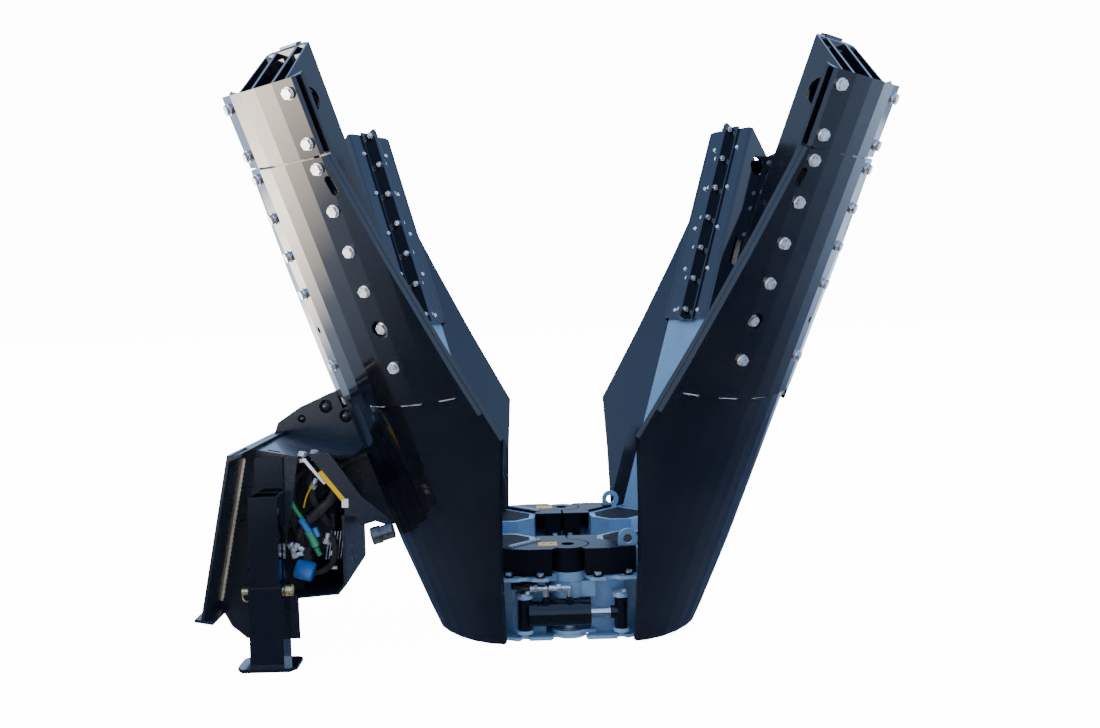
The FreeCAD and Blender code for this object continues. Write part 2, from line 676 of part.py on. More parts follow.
def port(x):
    """Boss and elbow on the barrel, turned back along it."""
    y = -GC_Y - 10
    stem = rod((x, y, GC_Z + GC_R - 6), (0, 0, 1), 8, HOSE_Z - GC_Z - GC_R + 6)
    boss = rod((x, y, GC_Z + GC_R - 6), (0, 0, 1), 12, 14)
    knee = Part.makeSphere(9, Vec(x, y, HOSE_Z))
    tail = rod((x, y, HOSE_Z), (-1, 0, 0), 8, 24)
    return fuse([boss, stem, knee, tail])


def gate_rod():
    """Rod with its eye tube; the eye is the opened pivot of the linkage."""
    piston_x = 15.0
    shaft = rod((piston_x, -GC_Y, GC_Z), (1, 0, 0), GC_ROD_R, GC_FRONT_X - piston_x - 6)
    piston = rod((piston_x - 18, -GC_Y, GC_Z), (1, 0, 0), 27.9, 18)
    collar = rod((GC_FRONT_X - 36, -GC_Y, GC_Z), (1, 0, 0), 18, 26)
    eye = rod((GC_FRONT_X, -GC_Y, GC_Z - 43), (0, 0, 1), 19, 86)
    bore = rod((GC_FRONT_X, -GC_Y, 0), (0, 0, 1), GC_PIN_R + OPENED_PIVOT_CLEAR, 200)
    return fuse([shaft, piston, collar, eye]).cut(bore)


def gate_pin(x):
    """Headed pin through a pair of lugs, with its keeper bolt."""
    shaft = rod((x, -GC_Y, GC_Z - 58), (0, 0, 1), GC_PIN_R, 112)
    head = rod((x, -GC_Y, GC_Z + 54), (0, 0, 1), 19, 5)
    keeper = hexagon((x + 9, -GC_Y, GC_Z + 59), (0, 0, 1), 13, 6)
    return fuse([shaft, head, keeper])


# ---- loader mount -----------------------------------------------------------------------------
def tilt(shape):
    """From the mount's own frame to the ring's: leaned back and moved to the plate's foot."""
    moved = shape.copy()
    turn = FreeCAD.Rotation(Vec(0, 1, 0), MOUNT_TILT)
    moved.Placement = FreeCAD.Placement(Vec(MOUNT_FOOT[0], 0, MOUNT_FOOT[1]), turn)
    return moved


def make_mount_frame():
    """Quick-attach plate with its lip, slotted foot flange and side gussets, and the deck on top."""
    face = box(-QA_T, 0, -QA_HALF, QA_HALF, QA_LOW, QA_HIGH)
    lip = side([(-QA_T, QA_HIGH - 8), (30, QA_HIGH + 12), (30, QA_HIGH + 4), (0, QA_HIGH - 16)],
               -QA_HALF, QA_HALF)
    flange = box(-24, 24, -QA_HALF, QA_HALF, QA_LOW - 8, QA_LOW)
    outline = [(-1, QA_LOW), (40, -52), (86, -78), (225, -57), (203, 50), (150, 110), (143, QA_HIGH - 5),
               (-1, QA_HIGH - 5)]
    gussets = []
    for sign in (-1, 1):
        y0, y1 = sorted((sign * GUSSET_Y, sign * (GUSSET_Y - GUSSET_T)))
        gussets.append(side(outline, y0, y1))
    slots = []
    for sign in (-1, 1):
        y0, y1 = sorted((sign * (QA_SLOT_Y - 95), sign * (QA_SLOT_Y - 30)))
        slots.append(box(2, 22, y0, y1, QA_LOW - 20, QA_LOW + 5))
    drills = [box(58, 92, y - 8, y + 8, QA_HIGH - 20, QA_HIGH + 20) for y in (-402, 402)]
    drills += [rod((x, y, QA_HIGH - 20), (0, 0, 1), 6.2, 40) for x, y in deck_bolt_places()]
    return tilt(fuse([face, lip, flange, deck_sheet()] + gussets).cut(slots + drills))


def deck_bolt_places():
    """Bolts on the mount's deck, in the mount's frame."""
    return [(x, sign * y) for sign in (-1, 1) for x, y in ((150, 402), (172, 344))]


def deck_sheet():
    """Deck between the gussets, narrowing towards the ring."""
    outline = [(0, -428), (143, -428), (185, -332), (265, -270)]
    outline += [(x, -y) for x, y in reversed(outline)]
    return plan(outline, QA_HIGH - 5, QA_HIGH + 3)


def deck_bolts():
    """Bolts standing on the mount's deck."""
    return [tilt(bolt((x, y, QA_HIGH + 3), (0, 0, 1), 19, 8, 6, 18, 12)) for x, y in deck_bolt_places()]


def bracket_outline():
    """Side view of the plates that join the mount to the ring."""
    return [(-868, 574), (-858, 606), (-792, 651), (-701, 692), (-600, 706), (-500, 640), (-402, 420),
            (-352, 300), (-352, 30), (-362, 30), (-392, 250), (-462, 306), (-533, 286), (-580, 303),
            (-622, 290), (-641, 318), (-662, 342), (-783, 545)]


def make_brackets():
    """Two upright plates with a tie between them, welded to the back of the ring."""
    pieces = []
    for sign in (-1, 1):
        y0, y1 = sorted((sign * BRACKET_Y, sign * (BRACKET_Y + BRACKET_T)))
        plate = side(bracket_outline(), y0, y1)
        holes = [(-712, 652, 20), (-785, 616, 12), (-652, 622, 20)]
        pieces.append(plate.cut([rod((x, -200, z), (0, 1, 0), r, 400) for x, z, r in holes]))
    pieces.append(box(-470, -458, -BRACKET_Y - 1, BRACKET_Y + 1, 330, 600))
    pieces.append(box(-660, -560, -BRACKET_Y - 1, BRACKET_Y + 1, 420, 432))
    return fuse(pieces).cut(make_mount_frame())


def make_bay_guard():
    """Bent plate that closes the valve bay, the cheek that carries it and the valve's shelf."""
    x, inner, outer = -605.0, -BRACKET_Y - BRACKET_T, -GUSSET_Y + GUSSET_T
    bent = [(x, 386), (x, 196), (x - 24, 168), (x - 30, 171), (x - 8, 199), (x - 8, 386)]
    tray = [(x - 26, 170), (BAY_REAR_X, 160), (BAY_REAR_X, 165), (x - 28, 175)]
    cheek = [(-702, 556), (-690, 545), (-604, 427), (-604, 384), (-574, 384), (-561, 358), (-521, 369),
             (-480, 354), (-480, 372), (-560, 440), (-640, 556)]
    pieces = [side(bent, outer, inner), side(tray, outer, inner)]
    pieces.append(side(cheek, outer - 4, outer + 6))
    pieces.append(box(VALVE_X - 5, x - 2, VALVE_Y - 115, inner, VALVE_Z - 51, VALVE_Z - 45))
    back = [(x - 4, 386), (x - 4, 199), (x - 28, 171), (BAY_REAR_X, 161), (BAY_REAR_X, 300), (x - 60, 386)]
    pieces.append(side(back, inner - 6, inner))
    return fuse(pieces).cut(make_mount_frame())


# ---- hydraulics -------------------------------------------------------------------------------
def make_valve():
    """Sectional valve: inlet block, stacked spool sections and end block, on a shelf."""
    pieces = []
    for k in range(5):
        y = VALVE_Y - 105 + 34 * k
        pieces.append(box(VALVE_X - 42, VALVE_X + 42, y, y + 32, VALVE_Z - 45, VALVE_Z + 45))
    pieces.append(box(VALVE_X - 46, VALVE_X + 46, VALVE_Y + 65, VALVE_Y + 115, VALVE_Z - 45, VALVE_Z + 45))
    for k in range(1, 5):
        y = VALVE_Y - 105 + 34 * k + 16
        pieces.append(rod((VALVE_X, y, VALVE_Z + 44), (0, 0, 1), 13, 34))
        pieces.append(rod((VALVE_X - 24, y, VALVE_Z - 75), (0, 0, 1), 14, 31))
    rail = box(VALVE_X - 20, VALVE_X + 20, VALVE_Y - 105, VALVE_Y + 99, VALVE_Z - 40, VALVE_Z + 40)
    return fuse(pieces + [rail])


def hose_path(points, radius):
    """Round hose: straight runs joined by tangent arcs."""
    corners = [Vec(*p) for p in points]
    edges = []
    start = corners[0]
    for before, here, after in zip(corners, corners[1:], corners[2:]):
        back, ahead = before - here, after - here
        half = (math.pi - back.getAngle(ahead)) / 2
        bend = 0.45 * min(back.Length, ahead.Length) / math.tan(half)
        reach = 0.45 * min(back.Length, ahead.Length)
        print("hose bend radius %.0f for hose of radius %.0f" % (bend, radius))
        enter = here + back.normalize() * reach
        leave = here + ahead.normalize() * reach
        towards = ((enter + leave) * 0.5 - here).normalize()
        middle = here + towards * (bend / math.cos(half) - bend)
        edges.append(Part.makeLine(start, enter))
        edges.append(Part.Arc(enter, middle, leave).toShape())
        start = leave
    edges.append(Part.makeLine(start, corners[-1]))
    first = corners[1] - corners[0]
    profile = Part.Wire([Part.makeCircle(radius, corners[0], first)])
    return Part.Wire(edges).makePipeShell([profile], True, False)


def make_hoses(radius=HOSE_R):
    """Pressure hoses from the valve over the bracket, and a pair that loops down to the far mast."""
    near = [(-690, -115, 375), (-690, -115, 440), (-650, -102, 500), (-572, -82, 508), (-500, -70, 480),
            (-440, -68, 425), (-390, -68, 360), (-345, -68, 312), (-315, -68, 248)]
    loop = [(0, 398), (84, 433), (172, 453), (258, 448), (322, 408), (350, 340), (338, 262), (330, 176)]
    ahead, beside = (0.82, 0.572), (-0.572, 0.82)
    hoses = []
    for k in (0, 1):
        hoses.append(hose_path([(x, y - HOSE_PITCH * k, z) for x, y, z in near], radius))
        step = HOSE_CLOSE * k
        far = [(-470 + h * ahead[0] + step * beside[0], 68 + h * ahead[1] + step * beside[1], z)
               for h, z in loop]
        hoses.append(hose_path(far, radius))
    return hoses


def make_coupler():
    """Quick coupler parked at the tip of the cheek."""
    tip = (-470.0, -GUSSET_Y + GUSSET_T - 32, 350.0)
    body = rod(tip, (-1, 0, -0.28), 21, 38)
    nose = rod((tip[0] - 34, tip[1], tip[2] - 9.5), (-1, 0, -0.28), 24, 24)
    ear = box(tip[0] - 24, tip[0] - 8, tip[1], tip[1] + 28, 344, 362)
    socket = rod((tip[0] - 40, tip[1], tip[2] - 11.2), (-1, 0, -0.28), 13, 40)
    return fuse([body, nose, ear]).cut(socket)


# ---- parking stand ----------------------------------------------------------------------------
def square_tube(outside, wall, z0, z1):
    """Upright square tube at the stand."""
    half = outside / 2
    shell = box(STAND_X - half, STAND_X + half, STAND_Y - half, STAND_Y + half, z0, z1)
    half -= wall
    return shell.cut(box(STAND_X - half, STAND_X + half, STAND_Y - half, STAND_Y + half, z0 - 1, z1 + 1))


def make_stand_tube():
    """Fixed tube welded to the gusset, slotted for the hitch pin."""
    tube_body = square_tube(STAND_TUBE, TUBE_WALL, TUBE_LOW, STAND_TOP)
    slot = box(STAND_X - 60, STAND_X + 60, STAND_Y - HITCH_R - 0.5, STAND_Y + HITCH_R + 0.5,
               HITCH_Z - HITCH_R - 0.5, HITCH_Z + LEG_RISE + HITCH_R + 0.5)
    inner = STAND_Y + STAND_TUBE / 2
    strap = box(STAND_X - 38, STAND_X + 38, inner - 1, -GUSSET_Y, LEG_TOP + LEG_RISE + 10, 552)
    return fuse([tube_body.cut(slot), strap]).cut(make_mount_frame())


def make_stand_leg():
    """Sliding outer tube on its foot plate."""
    leg = square_tube(LEG_TUBE, TUBE_WALL, FOOT_T - 1, LEG_TOP)
    foot = [(-78, -40), (-62, -62), (62, -62), (78, -40), (78, 30), (66, 42), (-66, 42), (-78, 30)]
    plate = plan([(STAND_X + x, STAND_Y + y) for x, y in foot], 0, FOOT_T)
    hole = rod((STAND_X - 70, STAND_Y, HITCH_Z), (1, 0, 0), HITCH_R + RUN_CLEAR, 140)
    return fuse([leg, plate]).cut(hole)


def make_hitch_pin():
    """Hitch pin with a domed head on the right and a ring clip on the left."""
    reach = LEG_TUBE / 2
    shaft = rod((STAND_X - reach - 26, STAND_Y, HITCH_Z), (1, 0, 0), HITCH_R, 2 * reach + 38)
    head = rod((STAND_X + reach + 1, STAND_Y, HITCH_Z), (1, 0, 0), 15, 18)
    pull = Part.makeTorus(13, 2.5, Vec(STAND_X - reach - 15, STAND_Y, HITCH_Z - 15), Vec(0.35, 1, 0))
    return fuse([shaft, head, pull])


# ---- assembly ---------------------------------------------------------------------------------
def build_towers():
    """The sliding half of each tower."""
    for name, inner in INNER_SIDE.items():
        save("blade_" + name, place(make_blade(inner), name))
        save("backing_" + name, place(make_backing(inner), name))
        save("cap_" + name, place(make_cap(), name))
        save("carriage_" + name, place(make_carriage(inner), name))
        save("spine_" + name, [place(part, name) for part in make_spine()])
        save("pads_" + name, [place(part, name) for part in make_pads()])
        save("bolts_" + name, [place(part, name) for part in make_tower_bolts(inner)])
        save("rod_" + name, place(make_blade_rod(), name))


def build_frame():
    """What stays with the loader, and the two gates."""
    rear_masts, rear_pins, rear_barrels = [], [], []
    for name in ("rear_near", "rear_far"):
        mast, pin = place_mast(name)
        rear_masts.append(mast)
        rear_pins.append(pin)
        rear_barrels.append(place(make_blade_barrel(), name))
    save("rear_masts", rear_masts)
    save("rear_barrels", rear_barrels)
    save("rear_ring", make_rear_ring())
    cover = rear_cover()
    save("rear_covers", [cover, mirror_y(cover)])
    nipple = rod((0, -HINGE_Y, 214), (0, 0, 1), 5, 20)
    hinge_pin = fuse([rod((0, -HINGE_Y, 4), (0, 0, 1), HINGE_PIN_R, 211), nipple])
    near = [hinge_pin, gate_pin(GC_REAR_X)] + foot_bolts(-1)
    save("frame_fixings", near + [mirror_y(item) for item in near] + rear_pins + deck_bolts())
    for where, side_name in ((lambda s: s, "near"), (mirror_y, "far")):
        mast, pin = place_mast("front_" + side_name)
        save("gate_mast_" + side_name, mast)
        save("gate_barrel_" + side_name, place(make_blade_barrel(), "front_" + side_name))
        save("gate_ring_" + side_name, where(make_gate_ring()))
        save("gate_cover_" + side_name, where(front_cover()))
        fixings = foot_bolts(1) + [gate_pin(GC_FRONT_X)]
        save("gate_fixings_" + side_name, [where(item) for item in fixings] + [pin])
        save("swing_barrel_" + side_name, where(gate_barrel()))
        save("swing_rod_" + side_name, where(gate_rod()))


def build_mount():
    """Loader mount, valve bay and parking stand."""
    save("mount_frame", make_mount_frame())
    save("ring_brackets", make_brackets())
    save("bay_guard", make_bay_guard())
    save("valve", make_valve())
    save("hoses", make_hoses())
    save("hose_coupler", make_coupler())
    save("stand_tube", make_stand_tube())
    save("stand_leg", make_stand_leg())
    save("hitch_pin", make_hitch_pin())


os.makedirs("parts", exist_ok=True)
build_towers()
build_frame()
build_mount()
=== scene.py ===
"""Looks of the four-blade tree spade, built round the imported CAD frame."""
import bpy
import bmesh
import json
import math
import random
from mathutils import Matrix, Vector


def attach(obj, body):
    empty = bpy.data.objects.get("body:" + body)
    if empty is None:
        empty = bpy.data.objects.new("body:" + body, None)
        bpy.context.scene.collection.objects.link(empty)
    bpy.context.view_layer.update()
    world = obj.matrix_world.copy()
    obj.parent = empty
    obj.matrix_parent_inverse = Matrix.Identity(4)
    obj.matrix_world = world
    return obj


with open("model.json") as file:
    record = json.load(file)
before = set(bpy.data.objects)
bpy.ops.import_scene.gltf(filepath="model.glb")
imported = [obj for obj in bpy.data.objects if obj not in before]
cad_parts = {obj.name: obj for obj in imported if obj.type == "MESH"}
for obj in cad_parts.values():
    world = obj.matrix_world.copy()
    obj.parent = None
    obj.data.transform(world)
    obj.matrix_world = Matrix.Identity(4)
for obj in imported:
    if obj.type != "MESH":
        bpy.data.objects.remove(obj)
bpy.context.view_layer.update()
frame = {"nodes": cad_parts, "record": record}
NODES = frame["nodes"]
random.seed(7)

# ---- where things are (metres) ------------------------------------------------------------------
LEAN = math.radians(23.5)
AZIMUTH = {"rear_near": 225, "front_near": 315, "rear_far": 135, "front_far": 45}
BODY = {name: "tower_" + name for name in AZIMUTH}
ROLL_AXIS_V = -0.113
BLADE_OUT = 0.484
FACET = 0.060 / BLADE_OUT
BACKING_FOOT = 0.918
SHOULDER_S, SHOULDER_HALF = 0.771, 0.303
BLADE_TOP, BLADE_TOP_HALF = 1.566, 0.160
STITCH_R = 0.0058
GRIP_PITCH = 0.0095
LABEL_Y = -0.4125
FLAP_Y = -0.325
HOSE_TAIL_R = 0.0065
HINGE_Y = 0.283
COVER_Z = 0.266
LID_Z = 0.258
GUSSET_Y = 0.418
SKY_GLOSS = 3.0
SKY_DIFFUSE = 0.80
BACKDROP = 14.0
FLOOR_GLOW = 14.0
YARD_GLOW = 16.0
MOUNT_FOOT = Vector((-0.944, 0.0, 0.153))
MOUNT_TILT = math.radians(10.8)


# ---- camera, light and floor --------------------------------------------------------------------
def set_camera():
    """Camera at the height and distance the object was seen from."""
    yaw, pitch, roll = 0.02121, -0.05197, -0.02097
    focal_px, width_px, sensor = 1071.9, 1100, 36.0
    forward = Vector((math.sin(yaw) * math.cos(pitch), math.cos(yaw) * math.cos(pitch), math.sin(pitch)))
    level = Vector((math.cos(yaw), -math.sin(yaw), 0))
    upright = level.cross(forward)
    right = math.cos(roll) * level + math.sin(roll) * upright
    up = -math.sin(roll) * level + math.cos(roll) * upright
    data = bpy.data.cameras.new("camera")
    data.sensor_width = sensor
    data.lens = focal_px * sensor / width_px
    camera = bpy.data.objects.new("camera", data)
    turn = Matrix((right, up, -forward)).transposed().to_4x4()
    camera.matrix_world = Matrix.Translation((-0.103, -3.288, 0.933)) @ turn
    bpy.context.collection.objects.link(camera)
    bpy.context.scene.camera = camera


def area_light(name, place, target, size, power, colour, in_gloss=False):
    """Soft rectangular light aimed at target."""
    data = bpy.data.lights.new(name, "AREA")
    data.shape = "RECTANGLE"
    data.size, data.size_y = size
    data.energy = power
    data.color = colour
    light = bpy.data.objects.new(name, data)
    light.location = place
    light.visible_glossy = in_gloss
    light.rotation_euler = (Vector(target) - Vector(place)).to_track_quat("-Z", "Y").to_euler()
    bpy.context.collection.objects.link(light)


def set_world():
    """White backdrop, even light on matt surfaces and a dimmer bluish sky in the gloss."""
    world = bpy.data.worlds.new("studio")
    bpy.context.scene.world = world
    world.use_nodes = True
    nodes, links = world.node_tree.nodes, world.node_tree.links
    nodes.remove(nodes["Background"])
    coords = nodes.new("ShaderNodeTexCoord")
    split = nodes.new("ShaderNodeSeparateXYZ")
    ramp = nodes.new("ShaderNodeValToRGB")
    ramp.color_ramp.elements[0].position = 0.0
    ramp.color_ramp.elements[0].color = (0.17, 0.22, 0.31, 1)
    ramp.color_ramp.elements[1].position = 0.75
    ramp.color_ramp.elements[1].color = (0.16, 0.27, 0.52, 1)
    mid = ramp.color_ramp.elements.new(0.30)
    mid.color = (0.26, 0.37, 0.58, 1)
    links.new(coords.outputs["Generated"], split.inputs[0])
    links.new(split.outputs["Z"], ramp.inputs["Fac"])
    path = nodes.new("ShaderNodeLightPath")
    sky = nodes.new("ShaderNodeBackground")
    sky.inputs["Strength"].default_value = SKY_GLOSS
    links.new(ramp.outputs["Color"], sky.inputs["Color"])
    last = sky.outputs[0]
    for ray, colour, strength in (("Is Diffuse Ray", (0.88, 0.93, 1.0, 1), SKY_DIFFUSE),
                                  ("Is Camera Ray", (1, 1, 1, 1), BACKDROP)):
        light = nodes.new("ShaderNodeBackground")
        light.inputs["Color"].default_value = colour
        light.inputs["Strength"].default_value = strength
        choose = nodes.new("ShaderNodeMixShader")
        links.new(path.outputs[ray], choose.inputs["Fac"])
        links.new(last, choose.inputs[1])
        links.new(light.outputs[0], choose.inputs[2])
        last = choose.outputs[0]
    links.new(last, nodes["World Output"].inputs["Surface"])


def flat_mesh(name, corners, height):
    """Horizontal sheet of the studio."""
    mesh = bpy.data.meshes.new(name)
    mesh.from_pydata([(x, y, 0) for x, y in corners], [], [tuple(range(len(corners)))])
    sheet = bpy.data.objects.new(name, mesh)
    sheet.location.z = height
    bpy.context.collection.objects.link(sheet)
    material = bpy.data.materials.new(name)
    material.use_nodes = True
    mesh.materials.append(material)
    return sheet, material


def make_floor():
    """Wide pale floor, with a dim yard that only the gloss sees."""
    far = 40.0
    square = [(-far, -far), (far, -far), (far, far), (-far, far)]
    floor, pale = flat_mesh("studio_floor", square, -0.0006)
    shader = pale.node_tree.nodes["Principled BSDF"]
    shader.inputs["Base Color"].default_value = (0.94, 0.95, 0.96, 1)
    shader.inputs["Roughness"].default_value = 0.9
    shader.inputs["Specular IOR Level"].default_value = 0.0
    shader.inputs["Emission Color"].default_value = (1.0, 1.0, 1.0, 1)
    shader.inputs["Emission Strength"].default_value = FLOOR_GLOW
    floor.visible_diffuse = False
    yard, dim = flat_mesh("dim_yard", square, 0.0004)
    yard.visible_camera = False
    yard.visible_diffuse = False
    yard.visible_shadow = False
    nodes, links = dim.node_tree.nodes, dim.node_tree.links
    nodes.remove(nodes["Principled BSDF"])
    glow = nodes.new("ShaderNodeEmission")
    coords = nodes.new("ShaderNodeTexCoord")
    split = nodes.new("ShaderNodeSeparateXYZ")
    ramp = nodes.new("ShaderNodeValToRGB")
    stops = ((0.0, (1.0, 0.86, 0.70)), (0.30, (0.95, 0.82, 0.66)), (0.39, (0.05, 0.06, 0.08)),
             (0.45, (0.003, 0.005, 0.010)), (0.57, (0.003, 0.005, 0.011)), (0.66, (0.018, 0.026, 0.042)),
             (0.78, (0.030, 0.042, 0.064)), (1.0, (0.034, 0.046, 0.068)))
    elements = ramp.color_ramp.elements
    elements[0].position, elements[0].color = stops[0][0], stops[0][1] + (1,)
    elements[1].position, elements[1].color = stops[-1][0], stops[-1][1] + (1,)
    for position, colour in stops[1:-1]:
        elements.new(position).color = colour + (1,)
    place = nodes.new("ShaderNodeMapRange")
    for key, number in (("From Min", -12.0), ("From Max", 12.0)):
        place.inputs[key].default_value = number
    links.new(coords.outputs["Object"], split.inputs[0])
    links.new(split.outputs["X"], place.inputs["Value"])
    links.new(place.outputs["Result"], ramp.inputs["Fac"])
    behind = nodes.new("ShaderNodeMapRange")
    for key, number in (("From Min", 1.6), ("From Max", 7.0)):
        behind.inputs[key].default_value = number
    links.new(split.outputs["Y"], behind.inputs["Value"])
    blend = nodes.new("ShaderNodeMix")
    blend.data_type = "RGBA"
    blend.inputs["B"].default_value = (0.085, 0.110, 0.150, 1)
    links.new(behind.outputs["Result"], blend.inputs["Factor"])
    links.new(ramp.outputs["Color"], blend.inputs["A"])
    links.new(blend.outputs["Result"], glow.inputs["Color"])
    glow.inputs["Strength"].default_value = YARD_GLOW
    links.new(glow.outputs[0], nodes["Material Output"].inputs["Surface"])


# ---- materials ----------------------------------------------------------------------------------
class Shader:
    """Small helper that wires one procedural material."""

    def __init__(self, name):
        self.material = bpy.data.materials.new(name)
        self.material.use_nodes = True
        self.nodes = self.material.node_tree.nodes
        self.links = self.material.node_tree.links
        self.bsdf = self.nodes["Principled BSDF"]
        self.coords = self.nodes.new("ShaderNodeTexCoord").outputs["Object"]

    def set(self, **values):
        for key, value in values.items():
            self.bsdf.inputs[key.replace("_", " ")].default_value = value

    def noise(self, scale, detail=3.0, rough=0.5, stretch=None):
        source = self.coords
        if stretch:
            mapping = self.nodes.new("ShaderNodeMapping")
            mapping.inputs["Scale"].default_value = stretch
            self.links.new(source, mapping.inputs["Vector"])
            source = mapping.outputs["Vector"]
        texture = self.nodes.new("ShaderNodeTexNoise")
        texture.inputs["Scale"].default_value = scale
        texture.inputs["Detail"].default_value = detail
        texture.inputs["Roughness"].default_value = rough
        self.links.new(source, texture.inputs["Vector"])
        return texture.outputs["Fac"]

    def spread(self, value, low, high, out_low, out_high):
        node = self.nodes.new("ShaderNodeMapRange")
        for key, number in zip(("From Min", "From Max", "To Min", "To Max"), (low, high, out_low, out_high)):
            node.inputs[key].default_value = number
        self.links.new(value, node.inputs["Value"])
        return node.outputs["Result"]

    def mix(self, factor, first, second):
        node = self.nodes.new("ShaderNodeMix")
        node.data_type = "RGBA"
        self.links.new(factor, node.inputs["Factor"])
        for socket, value in ((node.inputs["A"], first), (node.inputs["B"], second)):
            if isinstance(value, tuple):
                socket.default_value = value + (1,)
            else:
                self.links.new(value, socket)
        return node.outputs["Result"]

    def surface(self, colour=None, rough=None, height=None, depth=0.0, rounding=0.0):
        if colour is not None:
            self.links.new(colour, self.bsdf.inputs["Base Color"])
        if rough is not None:
            self.links.new(rough, self.bsdf.inputs["Roughness"])
        normal = None
        if rounding:
            bevel = self.nodes.new("ShaderNodeBevel")
            bevel.samples = 4
            bevel.inputs["Radius"].default_value = rounding
            normal = bevel.outputs["Normal"]
        if height is not None:
            bump = self.nodes.new("ShaderNodeBump")
            bump.inputs["Distance"].default_value = depth
            bump.inputs["Strength"].default_value = 1.0
            self.links.new(height, bump.inputs["Height"])
            if normal:
                self.links.new(normal, bump.inputs["Normal"])
            normal = bump.outputs["Normal"]
        if normal:
            self.links.new(normal, self.bsdf.inputs["Normal"])
        return self.material


def black_paint(name, rough_low=0.07, rough_high=0.14, rounding=0.0012, coat=0.55, shine=0.45,
                deep=(0.0035, 0.0048, 0.0085), dusty=(0.008, 0.010, 0.016), painted_shade_undersides=False):
    """Gloss black powder coat with faint orange peel, dust and soft streaks; optionally painted shade on
    faces turned downwards.
    """
    s = Shader(name)
    s.set(Coat_Weight=coat, Coat_Roughness=0.05, Specular_IOR_Level=shine)
    if painted_shade_undersides:
        # Painted shade: faces turned downwards lose their coat and specular, so they stay dark instead of
        # reflecting the bright floor.
        geometry = s.nodes.new("ShaderNodeNewGeometry")
        parts = s.nodes.new("ShaderNodeSeparateXYZ")
        s.links.new(geometry.outputs["True Normal"], parts.inputs["Vector"])
        for socket, full in (("Coat Weight", coat), ("Specular IOR Level", shine)):
            s.links.new(s.spread(parts.outputs["Z"], -0.86, -0.74, 0.0, full), s.bsdf.inputs[socket])
    dust = s.spread(s.noise(2.4, 5.0, 0.62), 0.42, 0.78, 0.0, 1.0)
    colour = s.mix(dust, deep, dusty)
    rough = s.spread(s.noise(3.2, 4.0, 0.6), 0.35, 0.7, rough_low, rough_high)
    return s.surface(colour, rough, s.noise(300.0, 1.0), 0.00002, rounding)


def blue_paint(name):
    """Semi-gloss blue-grey enamel with slight mottling and scuffs."""
    s = Shader(name)
    s.set(Coat_Weight=0.25, Coat_Roughness=0.12, Specular_IOR_Level=0.5)
    cloud = s.spread(s.noise(5.0, 5.0, 0.6), 0.35, 0.72, 0.0, 1.0)
    colour = s.mix(cloud, (0.135, 0.300, 0.560), (0.195, 0.390, 0.680))
    scuff = s.spread(s.noise(38.0, 4.0, 0.7, (1.0, 1.0, 0.35)), 0.66, 0.74, 0.0, 0.55)
    colour = s.mix(scuff, colour, (0.26, 0.36, 0.50))
    rough = s.spread(s.noise(14.0, 4.0), 0.3, 0.7, 0.28, 0.44)
    return s.surface(colour, rough, s.noise(260.0, 2.0), 0.00008, 0.0014)


def metal(name, colour, rough_low, rough_high, grain=0.0, rounding=0.0006, stretch=None):
    """Plated or bare metal with uneven brightness."""
    s = Shader(name)
    s.set(Metallic=1.0)
    dark = tuple(c * 0.72 for c in colour)
    tone = s.mix(s.spread(s.noise(60.0, 4.0), 0.35, 0.7, 0.0, 1.0), dark, colour)
    rough = s.spread(s.noise(110.0, 3.0), 0.3, 0.7, rough_low, rough_high)
    height = s.noise(700.0, 2.0, 0.5, stretch) if grain else None
    return s.surface(tone, rough, height, grain, rounding)


def part_painted(name, axis, edge, below, above):
    """One node in two finishes, changing where a coordinate passes edge."""
    s = Shader(name)
    split = s.nodes.new("ShaderNodeSeparateXYZ")
    s.links.new(s.coords, split.inputs[0])
    beyond = s.spread(split.outputs[axis], edge - 0.0004, edge + 0.0004, 0.0, 1.0)
    grime = s.spread(s.noise(70.0, 4.0), 0.35, 0.7, 0.8, 1.0)
    tone = s.mix(beyond, below[0], above[0])
    shade = s.nodes.new("ShaderNodeMix")
    shade.data_type = "RGBA"
    shade.blend_type = "MULTIPLY"
    shade.inputs["Factor"].default_value = 1.0
    s.links.new(tone, shade.inputs["A"])
    s.links.new(grime, shade.inputs["B"])
    s.links.new(s.spread(beyond, 0.0, 1.0, below[1], above[1]), s.bsdf.inputs["Metallic"])
    rough = s.spread(beyond, 0.0, 1.0, below[2], above[2])
    return s.surface(shade.outputs["Result"], rough, s.noise(420.0, 2.0), 0.00004, 0.0008)


def rubber(name, colour=(0.012, 0.012, 0.013), shine=0.35):
    """Wrapped hose cover with a fine cloth-impression texture."""
    s = Shader(name)
    s.set(Specular_IOR_Level=shine)
    tone = s.mix(s.spread(s.noise(40.0, 3.0), 0.3, 0.75, 0.0, 1.0), colour,
                 tuple(c * 1.9 + 0.004 for c in colour))
    rough = s.spread(s.noise(90.0), 0.3, 0.7, 0.48, 0.66)
    return s.surface(tone, rough, s.noise(900.0, 2.0), 0.00012)


def plastic(name, colour, low=0.3, high=0.45, shine=0.5):
    """Coloured plastic or printed film with faint wear."""
    s = Shader(name)
    s.set(Specular_IOR_Level=shine)
    tone = s.mix(s.spread(s.noise(55.0, 4.0), 0.45, 0.8, 0.0, 0.5), colour,
                 tuple(min(1.0, c * 0.78) for c in colour))
    rough = s.spread(s.noise(75.0), 0.3, 0.7, low, high)
    return s.surface(tone, rough, s.noise(500.0, 2.0), 0.00005, 0.0004)


